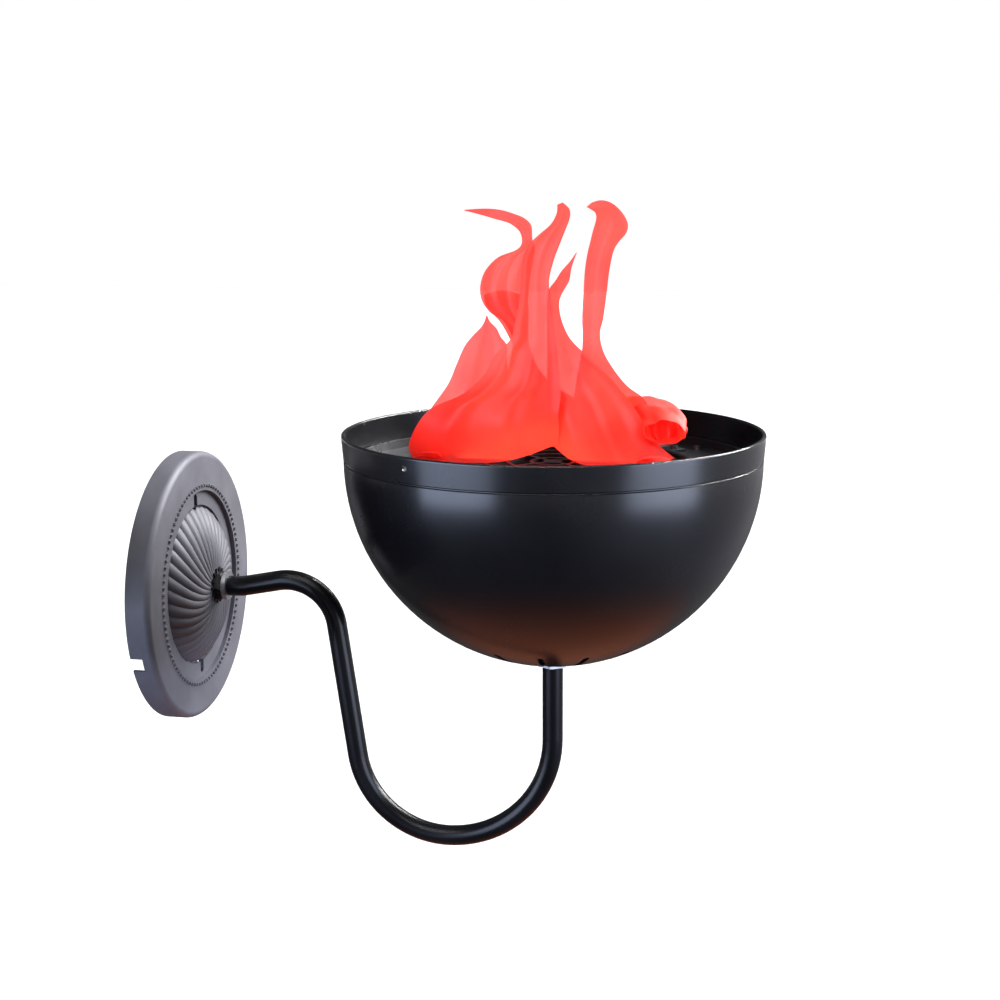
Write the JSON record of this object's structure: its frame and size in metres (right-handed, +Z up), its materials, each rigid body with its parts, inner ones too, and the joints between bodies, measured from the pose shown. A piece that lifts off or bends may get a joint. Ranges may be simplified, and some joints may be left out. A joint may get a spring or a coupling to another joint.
{
  "type": "wall flame lamp",
  "caption": "Wall stage lamp: round canopy, bent tube arm and a black bowl with a fan and lights that blow a red silk flame upwards.",
  "frame": {"origin": "centre of the canopy's back face, on the wall", "axes": "+Z up, +Y into the wall, the lamp stands out along -Y"},
  "size_m": [0.1998, 0.2909, 0.32],
  "materials": {
    "bowl_plastic": "satin",
    "powder_black": "satin",
    "canopy_grey": "matte",
    "deck_black": "satin",
    "zinc_steel": "satin",
    "black_steel": "satin",
    "nylon_white": "satin",
    "red_silk": "satin",
    "fan_plastic": "matte",
    "motor_steel": "satin",
    "ferrite": "matte",
    "copper_wire": "satin",
    "circuit_green": "satin",
    "board_white": "gloss",
    "clear_acrylic": "gloss",
    "sink_aluminium": "satin",
    "lead_jacket": "satin",
    "brass_screw": "satin"
  },
  "bodies": {
    "lamp": {"arm_collar": "nylon_white", "arm_lead": "lead_jacket", "arm_tube": "powder_black", "bearing_tube": "brass_screw", "bowl": "bowl_plastic", "bowl_lower_nut": "zinc_steel", "bowl_nipple": "zinc_steel", "bowl_upper_nut": "zinc_steel", "bowl_upper_washer": "zinc_steel", "canopy_front_nut": "black_steel", "canopy_rear_nut": "zinc_steel", "canopy_rear_washer": "zinc_steel", "clip_screws": "black_steel", "deck_plate": "deck_black", "deck_screws": "black_steel", "driver_base": "nylon_white", "driver_board": "circuit_green", "driver_capacitor": "sink_aluminium", "driver_cover": "nylon_white", "driver_screws": "zinc_steel", "driver_transformer": "ferrite", "fan_bearings": "motor_steel", "fan_board": "circuit_green", "fan_coils": "copper_wire", "fan_frame": "fan_plastic", "fan_lead": "lead_jacket", "fan_nuts": "zinc_steel", "fan_screws": "black_steel", "fan_stator": "motor_steel", "finger_guard": "black_steel", "hoop_clips": "fan_plastic", "light_boards": "board_white", "light_heat_sinks": "sink_aluminium", "light_leads": "lead_jacket", "light_lenses": "clear_acrylic", "light_screws": "black_steel", "light_spacers": "nylon_white", "lock_washer": "black_steel", "silk_back": "red_silk", "silk_fold": "red_silk", "silk_front": "red_silk", "silk_hoop": "black_steel", "silk_left": "red_silk", "silk_middle": "red_silk", "silk_right": "red_silk", "terminal_block": "nylon_white", "terminal_screws": "brass_screw", "wall_canopy": "canopy_grey", "wall_nipple": "zinc_steel"},
    "rotor": {"fan_rotor": "fan_plastic", "rotor_magnet": "ferrite", "fan_shaft": "motor_steel"}
  },
  "joints": [
    {"name": "fan_spin", "type": "hinge", "parent": "lamp", "child": "rotor", "pos_m": [0, -0.191, 0.05], "axis": [0, 0, 1], "continuous": true}
  ]
}
